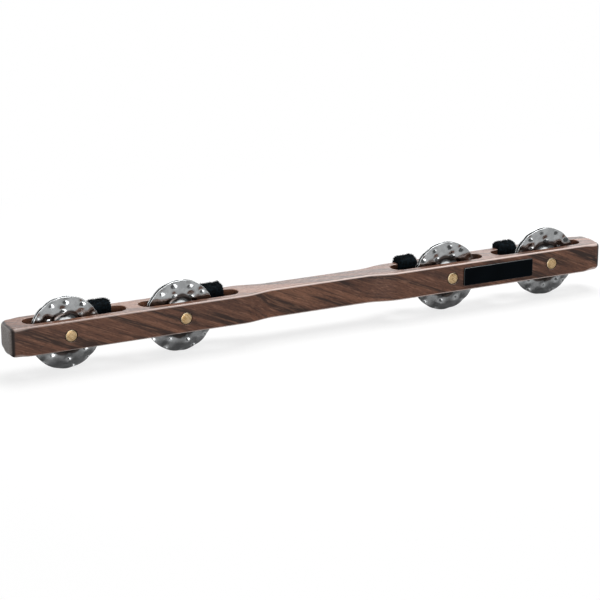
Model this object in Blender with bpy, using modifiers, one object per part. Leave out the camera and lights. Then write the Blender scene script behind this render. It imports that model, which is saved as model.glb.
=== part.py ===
"""A jingle stick: a waisted walnut bar with four slots, a pair of steel jingles on a brass pin in each slot,
a black fleece band looped round the rear rail beside each pair, and a plain black plate on the front face.

X runs along the stick, Y from its front face to its back, Z up. The origin is the middle of the stick.
"""

import math

import bmesh
import bpy
from mathutils import Matrix, Vector

# Driving dimensions, in metres
FIT_GAP = 0.0003  # between a piece and what it sits in or on

STICK_HEIGHT = 0.020
RAIL_THICKNESS = 0.0055  # wood on each side of a slot
EDGE_RADIUS = 0.002  # long edges, top and bottom
CORNER_RADIUS = 0.005  # upright edges at the two ends
END_WOOD = 0.012  # beyond the outer slots
BRIDGE_WOOD = 0.0093  # between the two slots of one end
GRIP_LENGTH = 0.116  # between the inner slots
WAIST_LENGTH = 0.068  # straight narrow stretch of the grip
WAIST_DEPTH = 0.004  # how far each side is drawn in there

PIN_DIAMETER = 0.008
PIN_CHAMFER = 0.0004
PIN_PROUD = 0.0001  # how far each end stands out of the wood

JINGLE_SLACK = 0.001  # how far a jingle hangs below its pin's axis
JINGLE_THICKNESS = 0.0008
DOME_LAND = 0.0035  # flat ring round the hole
DOME_SHOULDER = 0.0046  # from that ring down to the flange
DOME_HEIGHT = 0.0027
FLANGE_WIDTH = 0.0108
FLANGE_RISE = 0.0005  # from the rim up to the foot of the dome
RIM_GAP = 0.002  # between the two rims of a pair
DOME_ROOM = 0.0015  # between a dome and the slot's wall
RIM_ROOM = 0.0045  # between a rim and the slot's outer end

DAMPER_WIDTH = 0.015
DAMPER_WALL = 0.003  # pile and backing, on the sides and below
DAMPER_CROWN = 0.0042  # the same over the rail's top
DAMPER_TUCK = 0.0052  # how far it reaches behind the jingle's rim
DAMPER_ROOM = 0.0015  # free rail between it and the slot's round end

LABEL_LENGTH = 0.0555
LABEL_HEIGHT = 0.013
LABEL_THICKNESS = 0.0008
LABEL_CORNER = 0.0012
LABEL_OFFSET = 0.0043  # from the third pin's edge to the plate

# Sizes that follow from them
PIN_RADIUS = PIN_DIAMETER / 2
HOLE_RADIUS = PIN_RADIUS + JINGLE_SLACK + FIT_GAP
DOME_RADIUS = HOLE_RADIUS + DOME_LAND + DOME_SHOULDER
JINGLE_RADIUS = DOME_RADIUS + FLANGE_WIDTH
JINGLE_DEPTH = JINGLE_THICKNESS + FLANGE_RISE + DOME_HEIGHT
SLOT_WIDTH = RIM_GAP + 2 * (JINGLE_DEPTH + DOME_ROOM)
SLOT_RADIUS = SLOT_WIDTH / 2
SLOT_OUTER = JINGLE_RADIUS + RIM_ROOM  # from a pin to the end of its slot nearer the stick's tip
SLOT_INNER = JINGLE_RADIUS - DAMPER_TUCK + DAMPER_WIDTH + DAMPER_ROOM + SLOT_RADIUS
STICK_WIDTH = SLOT_WIDTH + 2 * RAIL_THICKNESS
INNER_PIN = GRIP_LENGTH / 2 + SLOT_INNER
OUTER_PIN = INNER_PIN + SLOT_OUTER + BRIDGE_WOOD + SLOT_INNER
STICK_LENGTH = 2 * (OUTER_PIN + SLOT_OUTER + END_WOOD)
PIN_PLACES = (-OUTER_PIN, -INNER_PIN, INNER_PIN, OUTER_PIN)
CUT_MARGIN = 0.005  # how far a cutter runs past the wood

ORIGIN_NAME = "jingle_stick_origin"
ROUND_SIDES = 32  # facets round a pin or a jingle
ARC_STEPS = 8  # facets in a quarter circle of an outline
WAIST_STEPS = 10
SHOULDER_STEPS = 3

FACING_FRONT = Matrix.Rotation(math.radians(90), 4, "X")  # local +Z points to the front, -Y
FACING_BACK = Matrix.Rotation(math.radians(-90), 4, "X")  # local +Z points to the back, +Y
ACROSS_X = Matrix(((0, 0, 1, 0), (1, 0, 0, 0), (0, 1, 0, 0), (0, 0, 0, 1)))  # local XY lies in world YZ


def clear_scene():
    for old in list(bpy.data.objects):
        bpy.data.objects.remove(old, do_unlink=True)


def new_collection(name):
    collection = bpy.data.collections.new(name)
    bpy.context.scene.collection.children.link(collection)
    return collection


def new_material(name, colour, roughness, metallic=0.0):
    material = bpy.data.materials.new(name)
    material.use_nodes = True
    shader = material.node_tree.nodes["Principled BSDF"]
    shader.inputs["Base Color"].default_value = (*colour, 1.0)
    shader.inputs["Roughness"].default_value = roughness
    shader.inputs["Metallic"].default_value = metallic
    material.diffuse_color = (*colour, 1.0)
    return material


def add_object(name, data, collection, place=Matrix.Identity(4), material=None):
    """Links an object in its place and, if the collection has an origin empty, parents it to that."""
    obj = bpy.data.objects.new(name, data)
    obj.parent = collection.objects.get(ORIGIN_NAME)
    collection.objects.link(obj)
    obj.matrix_world = place
    if material and not data.materials:
        data.materials.append(material)
    return obj


def arc(centre_x, centre_y, radius, start, end, steps=ARC_STEPS):
    """Points of a circular arc from one angle to another, in degrees, both ends included."""
    points = []
    for step in range(steps + 1):
        angle = math.radians(start + (end - start) * step / steps)
        points.append((centre_x + radius * math.cos(angle), centre_y + radius * math.sin(angle)))
    return points


def rounded_rectangle(low_x, high_x, low_y, high_y, radii):
    """Anticlockwise outline. radii: high x high y, low x high y, low x low y, high x low y."""
    centres = (
        (high_x - radii[0], high_y - radii[0]),
        (low_x + radii[1], high_y - radii[1]),
        (low_x + radii[2], low_y + radii[2]),
        (high_x - radii[3], low_y + radii[3]),
    )
    points = []
    for corner, (x, y) in enumerate(centres):
        points += arc(x, y, radii[corner], 90 * corner, 90 * corner + 90)
    return points


def flat_curve(name, outlines, thickness, edge_radius=0.0, edge_steps=2):
    """A filled 2D curve, as thick as given. Its upper and lower edges can be rounded within its outline."""
    curve = bpy.data.curves.new(name, "CURVE")
    curve.dimensions = "2D"
    curve.fill_mode = "BOTH"
    curve.extrude = thickness / 2 - edge_radius
    curve.bevel_depth = edge_radius
    curve.bevel_resolution = edge_steps
    curve.offset = -edge_radius
    for outline in outlines:
        spline = curve.splines.new("POLY")
        spline.points.add(len(outline) - 1)
        for point, (x, y) in zip(spline.points, outline):
            point.co = (x, y, 0, 1)
        spline.use_cyclic_u = True
    return curve


def mesh_from_curve(name, curve):
    """The curve's surface as one closed mesh."""
    holder = bpy.data.objects.new(name, curve)
    bpy.context.scene.collection.objects.link(holder)
    evaluated = holder.evaluated_get(bpy.context.evaluated_depsgraph_get())
    mesh = bpy.data.meshes.new_from_object(evaluated)
    bpy.data.objects.remove(holder, do_unlink=True)
    bpy.data.curves.remove(curve)
    shape = bmesh.new()
    shape.from_mesh(mesh)
    bmesh.ops.remove_doubles(shape, verts=shape.verts, dist=1e-6)
    bmesh.ops.recalc_face_normals(shape, faces=shape.faces)
    shape.to_mesh(mesh)
    shape.free()
    mesh.name = name
    return mesh


def rod_mesh(name, radius, length):
    shape = bmesh.new()
    bmesh.ops.create_cone(
        shape, cap_ends=True, segments=ROUND_SIDES, radius1=radius, radius2=radius, depth=length
    )
    mesh = bpy.data.meshes.new(name)
    shape.to_mesh(mesh)
    shape.free()
    return mesh


def shade_round(mesh, sharp_angle=35):
    mesh.shade_smooth()
    mesh.set_sharp_from_angle(angle=math.radians(sharp_angle))


def stick_outline():
    """Plan of the bar: rounded ends, full width at the slots, drawn in smoothly to the grip's waist."""
    half_length = STICK_LENGTH / 2
    half_width = STICK_WIDTH / 2
    waist_end = WAIST_LENGTH / 2
    ease_length = GRIP_LENGTH / 2 - waist_end
    side = []
    for step in range(WAIST_STEPS + 1):
        share = step / WAIST_STEPS
        drawn_in = WAIST_DEPTH * (1 + math.cos(math.pi * share)) / 2
        side.append((waist_end + ease_length * share, half_width - drawn_in))
    corner_x = half_length - CORNER_RADIUS
    corner_y = half_width - CORNER_RADIUS
    quarter = side + list(reversed(arc(corner_x, corner_y, CORNER_RADIUS, 0, 90)))
    right_back = list(reversed(quarter))
    left_back = [(-x, y) for x, y in quarter]
    left_front = [(-x, -y) for x, y in right_back]
    right_front = [(x, -y) for x, y in quarter]
    return right_back + left_back + left_front + right_front


def slot_outline():
    """Plan of a slot on the right half, about its pin: round ends, longer towards the stick's middle."""
    outer_end = arc(SLOT_OUTER - SLOT_RADIUS, 0, SLOT_RADIUS, -90, 90, 2 * ARC_STEPS)
    inner_end = arc(SLOT_RADIUS - SLOT_INNER, 0, SLOT_RADIUS, 90, 270, 2 * ARC_STEPS)
    return outer_end + inner_end


def cut(body, cutter):
    cutter.hide_render = True
    cutter.display_type = "WIRE"
    boolean = body.modifiers.new(cutter.name, "BOOLEAN")
    boolean.operation = "DIFFERENCE"
    boolean.solver = "EXACT"
    boolean.object = cutter


def make_stick(parts, cutters):
    walnut = new_material("oiled_walnut", (0.115, 0.062, 0.045), 0.5)
    outline = flat_curve("stick_body", [stick_outline()], STICK_HEIGHT, EDGE_RADIUS)
    body = add_object("stick_body", mesh_from_curve("stick_body", outline), parts, material=walnut)
    shade_round(body.data)
    slot_depth = STICK_HEIGHT + 2 * CUT_MARGIN
    slot_mesh = mesh_from_curve("slot", flat_curve("slot", [slot_outline()], slot_depth))
    bore_mesh = rod_mesh("pin_bore", PIN_RADIUS + FIT_GAP, STICK_WIDTH + 2 * CUT_MARGIN)
    for number, x in enumerate(PIN_PLACES, start=1):
        turned = Matrix.Rotation(math.radians(0 if x > 0 else 180), 4, "Z")
        place = Matrix.Translation((x, 0, 0))
        cut(body, add_object(f"slot_cutter_{number}", slot_mesh, cutters, place @ turned))
        cut(body, add_object(f"pin_bore_cutter_{number}", bore_mesh, cutters, place @ FACING_FRONT))


def make_pins(parts):
    brass = new_material("turned_brass", (0.62, 0.42, 0.19), 0.3, 1.0)
    mesh = rod_mesh("brass_pin", PIN_RADIUS, STICK_WIDTH + 2 * PIN_PROUD)
    shade_round(mesh)
    for number, x in enumerate(PIN_PLACES, start=1):
        place = Matrix.Translation((x, 0, 0)) @ FACING_FRONT
        pin = add_object(f"pin_{number}", mesh, parts, place, brass)
        chamfer = pin.modifiers.new("chamfer", "BEVEL")
        chamfer.width = PIN_CHAMFER
        chamfer.segments = 1
        chamfer.limit_method = "ANGLE"
        chamfer.angle_limit = math.radians(60)


def jingle_profile():
    """Inner face of a jingle, from the hole out to the rim: a flat land, an S-shaped shoulder and a low cone."""
    crest = FLANGE_RISE + DOME_HEIGHT
    profile = [(HOLE_RADIUS, crest)]
    for step in range(SHOULDER_STEPS + 1):
        share = step / SHOULDER_STEPS
        radius = HOLE_RADIUS + DOME_LAND + DOME_SHOULDER * share
        profile.append((radius, crest - DOME_HEIGHT * (1 - math.cos(math.pi * share)) / 2))
    profile.append((JINGLE_RADIUS, 0.0))
    return profile


def make_jingles(parts):
    steel = new_material("hammered_steel", (0.42, 0.43, 0.44), 0.28, 1.0)
    mesh = bpy.data.meshes.new("jingle")
    shape = bmesh.new()
    ring = [shape.verts.new((radius, 0, height)) for radius, height in jingle_profile()]
    for first, second in zip(ring, ring[1:]):
        shape.edges.new((first, second))
    shape.to_mesh(mesh)
    shape.free()
    for number, x in enumerate(PIN_PLACES, start=1):
        for side, turn, direction in (("front", FACING_FRONT, -1), ("rear", FACING_BACK, 1)):
            centre = Vector((x, direction * RIM_GAP / 2, -JINGLE_SLACK))
            place = Matrix.Translation(centre) @ turn
            jingle = add_object(f"jingle_{number}_{side}", mesh, parts, place, steel)
            turned = jingle.modifiers.new("turned", "SCREW")
            turned.axis = "Z"
            turned.angle = math.radians(360)
            turned.steps = ROUND_SIDES
            turned.render_steps = ROUND_SIDES
            turned.use_merge_vertices = True
            turned.merge_threshold = 1e-6
            turned.use_smooth_shade = True
            sheet = jingle.modifiers.new("sheet", "SOLIDIFY")
            sheet.thickness = JINGLE_THICKNESS
            sheet.offset = 1.0
            sheet.use_even_offset = True


def make_dampers(parts):
    fleece = new_material("black_fleece", (0.012, 0.014, 0.016), 0.95)
    rail_front = SLOT_RADIUS - FIT_GAP
    rail_back = STICK_WIDTH / 2 + FIT_GAP
    rail_top = STICK_HEIGHT / 2 + FIT_GAP
    soft_corner = EDGE_RADIUS + FIT_GAP
    crown_corner = DAMPER_WALL + soft_corner
    inside = rounded_rectangle(
        rail_front, rail_back, -rail_top, rail_top, (soft_corner, FIT_GAP, FIT_GAP, soft_corner)
    )
    outside = rounded_rectangle(
        rail_front - DAMPER_WALL,
        rail_back + DAMPER_WALL,
        -rail_top - DAMPER_WALL,
        rail_top + DAMPER_CROWN,
        (crown_corner, crown_corner, DAMPER_WALL, crown_corner),
    )
    from_pin = JINGLE_RADIUS - DAMPER_TUCK + DAMPER_WIDTH / 2
    for number, x in enumerate(PIN_PLACES, start=1):
        towards_middle = -1 if x > 0 else 1
        band = flat_curve(f"damper_{number}", [outside, inside], DAMPER_WIDTH)
        place = Matrix.Translation((x + towards_middle * from_pin, 0, 0)) @ ACROSS_X
        add_object(f"damper_{number}", band, parts, place, fleece)


def make_label(parts):
    gloss = new_material("black_gloss_plate", (0.008, 0.010, 0.013), 0.15)
    half_length = LABEL_LENGTH / 2
    half_height = LABEL_HEIGHT / 2
    outline = rounded_rectangle(-half_length, half_length, -half_height, half_height, (LABEL_CORNER,) * 4)
    plate = flat_curve("label_plate", [outline], LABEL_THICKNESS)
    centre_x = INNER_PIN + PIN_RADIUS + LABEL_OFFSET + half_length
    centre_y = -STICK_WIDTH / 2 - FIT_GAP - LABEL_THICKNESS / 2
    add_object("label_plate", plate, parts, Matrix.Translation((centre_x, centre_y, 0)) @ FACING_FRONT, gloss)


clear_scene()
part_collection = new_collection("jingle_stick")
cutter_collection = new_collection("jingle_stick_cutters")
add_object(ORIGIN_NAME, None, part_collection)
make_stick(part_collection, cutter_collection)
make_pins(part_collection)
make_jingles(part_collection)
make_dampers(part_collection)
make_label(part_collection)
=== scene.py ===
import math

import bmesh
import bpy
from mathutils import Matrix, Vector


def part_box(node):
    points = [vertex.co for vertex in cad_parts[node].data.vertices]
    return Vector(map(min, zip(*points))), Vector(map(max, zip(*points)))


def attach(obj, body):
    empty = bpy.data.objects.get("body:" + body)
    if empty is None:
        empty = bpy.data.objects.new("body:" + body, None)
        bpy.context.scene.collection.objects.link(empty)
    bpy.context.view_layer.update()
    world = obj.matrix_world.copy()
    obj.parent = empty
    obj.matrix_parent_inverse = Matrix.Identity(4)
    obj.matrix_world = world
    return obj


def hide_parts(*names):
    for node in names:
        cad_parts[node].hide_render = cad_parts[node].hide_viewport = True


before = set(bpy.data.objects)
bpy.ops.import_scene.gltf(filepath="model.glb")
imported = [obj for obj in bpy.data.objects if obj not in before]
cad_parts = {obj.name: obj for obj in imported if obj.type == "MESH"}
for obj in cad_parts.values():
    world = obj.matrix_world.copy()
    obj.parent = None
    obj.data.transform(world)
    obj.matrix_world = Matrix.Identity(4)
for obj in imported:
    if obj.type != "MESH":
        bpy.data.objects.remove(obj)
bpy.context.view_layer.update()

# The walnut bar is the stick itself: one length of oiled walnut, drawn in to a waist where the hand holds it.
# It is sawn to its outline and its edges are rounded over. Four long slots for the jingles are routed down
# through it, and a bore is drilled across each slot for the pin that carries a pair of them.
bar_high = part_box("stick_body")[1]
bar_half_length = bar_high.x
bar_half_width = bar_high.y
bar_half_height = bar_high.z
back_corner_radius = 0.0056
front_corner_radius = 0.0042
bar_edge_radius = 0.0015
end_top_radius = 0.0036
end_bottom_radius = 0.0054
front_end_share = 0.62
end_middle_share = 0.35
end_ease_length = 0.014
waist_half_length = 0.034
waist_ease_end = 0.058
waist_depth = 0.004
slot_radius = 0.0065
slot_outer_length = 0.0287
slot_inner_length = 0.042
slot_rim_radius = 0.0005
bore_radius = 0.0043
bore_rim_radius = 0.0002
cutter_overrun = 0.003
waist_steps = 24
ease_steps = 6
end_steps = 7
corner_steps = 12
edge_steps = 8
slot_end_steps = 32
slot_rim_steps = 4
bore_rim_steps = 2
circle_steps = 64
pin_numbers = (1, 2, 3, 4)
pin_places = {number: sum(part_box(f"pin_{number}"), Vector()) / 2 for number in pin_numbers}
facing_front = Matrix.Rotation(math.radians(90), 4, "X")
facing_back = Matrix.Rotation(math.radians(-90), 4, "X")


def arc(centre, radius, start, end, steps):
    """Points on a circular arc between two angles in degrees, both ends included."""
    points = []
    for step in range(steps + 1):
        angle = math.radians(start + (end - start) * step / steps)
        points.append((centre[0] + radius * math.cos(angle), centre[1] + radius * math.sin(angle)))
    return points


def bar_outline():
    """The bar seen from above, anticlockwise: square ends with rounded corners and a smooth waist."""
    quarters = []
    for corner_radius in (back_corner_radius, front_corner_radius):
        quarter = []
        for step in range(waist_steps + 1):
            share = step / waist_steps
            drawn_in = waist_depth * (1 + math.cos(math.pi * share)) / 2
            x = waist_half_length + (waist_ease_end - waist_half_length) * share
            quarter.append((x, bar_half_width - drawn_in))
        corner = (bar_half_length - corner_radius, bar_half_width - corner_radius)
        ease_start = bar_half_length - end_ease_length
        for step in range(ease_steps):
            quarter.append((ease_start + (corner[0] - ease_start) * step / ease_steps, bar_half_width))
        across_end = [(bar_half_length, corner[1] * (1 - step / end_steps)) for step in range(1, end_steps)]
        quarters.append(quarter + arc(corner, corner_radius, 90, 0, corner_steps) + across_end)
    back, front = quarters
    left_back = [(-x, y) for x, y in back]
    left_front = [(-x, -y) for x, y in reversed(front)]
    right_front = [(x, -y) for x, y in front]
    return back[::-1] + left_back + left_front + right_front


def slot_outline():
    """A slot seen from above, about its pin: round ends, the longer part towards +X."""
    inner_end = arc((slot_inner_length - slot_radius, 0), slot_radius, -90, 90, slot_end_steps)
    outer_end = arc((slot_radius - slot_outer_length, 0), slot_radius, 90, 270, slot_end_steps)
    return inner_end + outer_end


def add_piece(name, data):
    piece = bpy.data.objects.new(name, data)
    bpy.context.scene.collection.objects.link(piece)
    return piece


def skin(shape, loops):
    """Joins each closed loop of points to the next with a strip of faces."""
    for lower, upper in zip(loops, loops[1:]):
        for index in range(len(lower)):
            following = (index + 1) % len(lower)
            shape.faces.new((lower[index], lower[following], upper[following], upper[index]))


def as_mesh(shape, name):
    mesh = bpy.data.meshes.new(name)
    shape.to_mesh(mesh)
    shape.free()
    return mesh


def loft(name, outline, rings, place=Matrix.Identity(4), other_rings=None, other_share=None):
    """A closed solid: an anticlockwise outline repeated at each height, moved outwards by each offset.
    Where other_share says so for a point, it follows the other rings instead."""
    count = len(outline)
    outwards = []
    for index, point in enumerate(outline):
        before = Vector(point) - Vector(outline[index - 1])
        after = Vector(outline[(index + 1) % count]) - Vector(point)
        first = Vector((before.y, -before.x)).normalized()
        second = Vector((after.y, -after.x)).normalized()
        outwards.append((first + second) / (1 + first.dot(second)))
    shape = bmesh.new()
    loops = []
    for ring, other in zip(rings, other_rings or rings):
        loop = []
        for point, outward in zip(outline, outwards):
            offset, height = Vector(ring).lerp(Vector(other), other_share(point) if other_share else 0.0)
            moved = Vector(point) + outward * offset
            loop.append(shape.verts.new((moved.x, moved.y, height)))
        loops.append(loop)
    shape.faces.new(loops[0][::-1])
    shape.faces.new(loops[-1])
    skin(shape, loops)
    mesh = as_mesh(shape, name)
    mesh.transform(place)
    return add_piece(name, mesh)


def settle(piece):
    """Makes what the modifiers give the piece's own plain mesh, and removes the modifiers."""
    depsgraph = bpy.context.evaluated_depsgraph_get()
    evaluated = piece.evaluated_get(depsgraph)
    mesh = bpy.data.meshes.new_from_object(evaluated, preserve_all_data_layers=True, depsgraph=depsgraph)
    piece.modifiers.clear()
    piece.data = mesh


def rounded_edge(radius, height, steps):
    """Rings of an edge that rounds over to the top: how far each is moved in, and its height."""
    rings = []
    for step in range(steps + 1):
        angle = math.pi / 2 * step / steps
        rings.append((radius * (math.cos(angle) - 1), height - radius + radius * math.sin(angle)))
    return rings


def flared_mouth(radius, height, steps):
    """Rings of a cutter that flares out towards a surface, so that it leaves a rounded rim."""
    rings = [(-offset, level) for offset, level in rounded_edge(radius, height, steps)]
    return rings + [(radius, height + cutter_overrun)]


def upside_down(rings):
    return [(offset, -height) for offset, height in reversed(rings)]


def smooth_with_flats(piece, sharp_angle):
    """Shades the roundings smoothly and keeps the flat faces flat."""
    piece.data.shade_smooth()
    piece.data.set_sharp_from_angle(angle=math.radians(sharp_angle))
    weighted = piece.modifiers.new("flat faces", "WEIGHTED_NORMAL")
    weighted.keep_sharp = True
    settle(piece)


def eased(share):
    """A share held between 0 and 1, with a slow start and a slow end."""
    share = min(1.0, max(0.0, share))
    return share * share * (3 - 2 * share)


def near_end(point):
    """How far a point of the bar's outline has come into the fuller rounding at the stick's ends, 0 to 1.
    The front's corners are worn less than the back's, and the middle of an end less than its corners."""
    past_ease_start = abs(point[0]) - bar_half_length + end_ease_length
    corner_start = bar_half_width - back_corner_radius
    backwards = min(1.0, max(0.0, 0.5 + 0.5 * point[1] / corner_start))
    fullest = front_end_share + (1 - front_end_share) * backwards
    fullest *= end_middle_share + (1 - end_middle_share) * eased(abs(point[1]) / corner_start)
    return fullest * eased(past_ease_start / (end_ease_length - back_corner_radius))


long_edge = rounded_edge(bar_edge_radius, bar_half_height, edge_steps)
end_top = rounded_edge(end_top_radius, bar_half_height, edge_steps)
end_bottom = rounded_edge(end_bottom_radius, bar_half_height, edge_steps)
walnut_bar = loft(
    "walnut_bar",
    bar_outline(),
    upside_down(long_edge) + long_edge,
    other_rings=upside_down(end_bottom) + end_top,
    other_share=near_end,
)
slot_mouth = flared_mouth(slot_rim_radius, bar_half_height, slot_rim_steps)
bore_mouth = flared_mouth(bore_rim_radius, bar_half_width, bore_rim_steps)
bore_circle = arc((0, 0), bore_radius, 0, 360, circle_steps)[:-1]
cutters = []
for number, pin_place in pin_places.items():
    turned = Matrix.Rotation(0 if pin_place.x < 0 else math.pi, 4, "Z")
    cutters.append(loft(
        f"slot_cutter_{number}",
        slot_outline(),
        upside_down(slot_mouth) + slot_mouth,
        Matrix.Translation(pin_place) @ turned,
    ))
    cutters.append(loft(
        f"bore_cutter_{number}",
        bore_circle,
        upside_down(bore_mouth) + bore_mouth,
        Matrix.Translation(pin_place) @ facing_front,
    ))
for cutter in cutters:
    boolean = walnut_bar.modifiers.new(cutter.name, "BOOLEAN")
    boolean.operation = "DIFFERENCE"
    boolean.solver = "EXACT"
    boolean.object = cutter
settle(walnut_bar)
for cutter in cutters:
    bpy.data.objects.remove(cutter, do_unlink=True)
smooth_with_flats(walnut_bar, sharp_angle=50)


def colour(hex_code):
    """An sRGB hex colour as the linear RGBA that a socket takes."""
    channels = [int(hex_code[start:start + 2], 16) / 255 for start in (1, 3, 5)]
    linear = [value / 12.92 if value <= 0.04045 else ((value + 0.055) / 1.055) ** 2.4 for value in channels]
    return (*linear, 1.0)


def feed(node, inputs):
    """Gives each named or numbered input of a node its value, an output, or a node, which stands for its
    first output."""
    in_use = [socket for socket in node.inputs if socket.enabled]
    named = {socket.name: socket for socket in reversed(in_use)}
    for key, value in dict(inputs).items():
        socket = in_use[key] if isinstance(key, int) else named[key]
        if isinstance(value, bpy.types.Node):
            value = next(output for output in value.outputs if output.enabled)
        if isinstance(value, bpy.types.NodeSocket):
            node.id_data.links.new(value, socket)
        else:
            socket.default_value = value


def add_node(tree, kind, inputs=(), **settings):
    """Adds a node with its settings and its inputs."""
    node = tree.nodes.new(kind)
    for name, value in settings.items():
        setattr(node, name, value)
    feed(node, inputs)
    return node


def new_material(name):
    """A material with its node tree, its surface, and where on the piece a point lies."""
    material = bpy.data.materials.new(name)
    material.use_nodes = True
    tree = material.node_tree
    return material, tree, tree.nodes["Principled BSDF"], add_node(tree, "ShaderNodeTexCoord")


# Oiled walnut: brown heartwood in wavy growth layers with bold dark bands, cut so that they cross the front
# face aslant, with fine fibre lines and short dark pores. Oil leaves a low satin gloss. A pale painted
# highlight lies on the long edges' roundings, most so on the right. The end grain has its own tone, paled
# grey by a painted sheen, with a painted shade line round it. Pores are drawn about twice as long and wide as
# real ones.
walnut, tree, shader, where = new_material("oiled walnut")
front_slope = math.radians(24)
top_slope = math.radians(17)
along_fibre = Vector((math.cos(front_slope), 0, -math.sin(front_slope)))
trace_on_top = Vector((math.cos(top_slope), -math.sin(top_slope), 0))
across_layers = trace_on_top.cross(along_fibre).normalized()
board_turn = Matrix((along_fibre, across_layers.cross(along_fibre), across_layers)).transposed().to_euler()
grain_layers = (
    ("figure", (0.200, 0.070, 0.0110), 2.0, 0.9),
    ("band", (0.170, 0.055, 0.0060), 2.0, 0.6),
    ("streak", (0.060, 0.020, 0.0014), 2.0, 0.3),
    ("fibre", (0.010, 0.0013, 0.0006), 1.0, 0.0),
    ("pore", (0.0022, 0.0008, 0.0006), 0.0, 0.0),
)
grain_tints = (
    ("figure", 0.35, 0.55, 1.00, "#664231"),
    ("figure", 0.54, 0.68, 0.60, "#8A5F48"),
    ("band", 0.49, 0.39, 0.84, "#25130B"),
    ("streak", 0.44, 0.32, 0.56, "#2A1810"),
    ("streak", 0.56, 0.70, 0.36, "#966A52"),
    ("fibre", 0.52, 0.74, 0.32, "#A67A62"),
    ("fibre", 0.47, 0.28, 0.28, "#28170F"),
    ("pore", 0.56, 0.68, 0.32, "#1A0F09"),
)
# A pale painted highlight on the long edges' roundings: its share along the bar, least at the left end, and
# where on a rounding it starts and is full.
highlight_least_x = -0.22
highlight_full_x = 0.05
least_highlight = 0.34
most_highlight = 0.75
edge_start = 0.22
edge_full = 0.48
end_grain_start = 0.212
grain = {}
for name, size, detail, bend in grain_layers:
    board = add_node(
        tree,
        "ShaderNodeMapping",
        {"Vector": where.outputs["Object"], "Rotation": board_turn, "Scale": size},
        vector_type="TEXTURE",
    )
    grain[name] = add_node(
        tree, "ShaderNodeTexNoise", {"Vector": board, "Scale": 1.0, "Detail": detail, "Distortion": bend}
    )
wood = colour("#442A20")
for name, low, high, most, hex_code in grain_tints:
    amount = add_node(
        tree,
        "ShaderNodeMapRange",
        {"Value": grain[name], "From Min": low, "From Max": high, "To Max": most},
        interpolation_type="SMOOTHSTEP",
    )
    wood = add_node(
        tree, "ShaderNodeMix", {"Factor": amount, "A": wood, "B": colour(hex_code)}, data_type="RGBA"
    )
facing = add_node(tree, "ShaderNodeSeparateXYZ", {"Vector": where.outputs["Normal"]})
slant = add_node(
    tree, "ShaderNodeMath", {0: facing.outputs["Y"], 1: facing.outputs["Z"]}, operation="MULTIPLY"
)
rounding = add_node(tree, "ShaderNodeMath", {0: slant}, operation="ABSOLUTE")
along_bar = add_node(tree, "ShaderNodeSeparateXYZ", {"Vector": where.outputs["Object"]})
highlight_along_bar = add_node(
    tree,
    "ShaderNodeMapRange",
    {
        "Value": along_bar.outputs["X"],
        "From Min": highlight_least_x,
        "From Max": highlight_full_x,
        "To Min": least_highlight,
        "To Max": most_highlight,
    },
    interpolation_type="SMOOTHSTEP",
)
# The pale colour mixed onto the long edges' roundings is a painted highlight.
painted_edge_highlight = add_node(
    tree,
    "ShaderNodeMapRange",
    {"Value": rounding, "From Min": edge_start, "From Max": edge_full, "To Max": highlight_along_bar},
    interpolation_type="SMOOTHSTEP",
)
wood = add_node(
    tree, "ShaderNodeMix", {"Factor": painted_edge_highlight, "A": wood, "B": colour("#E6D3CB")}, data_type="RGBA"
)
# The end grain's own tone, paled grey by a painted sheen.
end_grain_and_sheen = add_node(
    tree,
    "ShaderNodeMix",
    {"Factor": grain["fibre"], "A": colour("#5F5651"), "B": colour("#A59D99")},
    data_type="RGBA",
)
end_on = add_node(tree, "ShaderNodeMath", {0: facing.outputs["X"]}, operation="ABSOLUTE")
from_middle = add_node(tree, "ShaderNodeMath", {0: along_bar.outputs["X"]}, operation="ABSOLUTE")
past_slots = add_node(tree, "ShaderNodeMath", {0: from_middle, 1: end_grain_start}, operation="GREATER_THAN")
bar_end_on = add_node(tree, "ShaderNodeMath", {0: end_on, 1: past_slots}, operation="MULTIPLY")
# A dark painted shade line on the roundings round each end of the bar.
end_shade_line = (0.20, 0.50, colour("#1F140F"))
end_face = (0.65, 0.95, end_grain_and_sheen)
for low, high, over in (end_shade_line, end_face):
    amount = add_node(
        tree,
        "ShaderNodeMapRange",
        {"Value": bar_end_on, "From Min": low, "From Max": high},
        interpolation_type="SMOOTHSTEP",
    )
    wood = add_node(tree, "ShaderNodeMix", {"Factor": amount, "A": wood, "B": over}, data_type="RGBA")
satin = add_node(
    tree,
    "ShaderNodeMapRange",
    {"Value": grain["fibre"], "From Min": 0.3, "From Max": 0.7, "To Min": 0.44, "To Max": 0.33},
)
raised = add_node(tree, "ShaderNodeBump", {"Strength": 0.3, "Distance": 0.00012, "Height": grain["fibre"]})
pore_floor = add_node(
    tree,
    "ShaderNodeMapRange",
    {"Value": grain["pore"], "From Min": 0.72, "From Max": 0.60},
    interpolation_type="SMOOTHSTEP",
)
pitted = add_node(
    tree,
    "ShaderNodeBump",
    {"Strength": 0.3, "Distance": 0.00010, "Height": pore_floor, "Normal": raised},
)
feed(shader, {"Base Color": wood, "Roughness": satin, "Specular IOR Level": 0.4, "Normal": pitted})
walnut_bar.data.materials.clear()
walnut_bar.data.materials.append(walnut)
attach(walnut_bar, "stick")
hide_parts("stick_body")

# Four brass pins cross the slots and carry the jingles. Each is a length of turned rod, driven through its
# bore and sanded nearly flush with the wood at both ends, where its edge is rounded off.
pin_radius = 0.004
pin_chamfer = 0.0007
pin_chamfer_bulge = 0.3 * pin_chamfer
pin_crown = 0.00008
pin_crown_edge = 0.5 * pin_radius
pin_crown_middle = 0.85 * pin_radius
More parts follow.
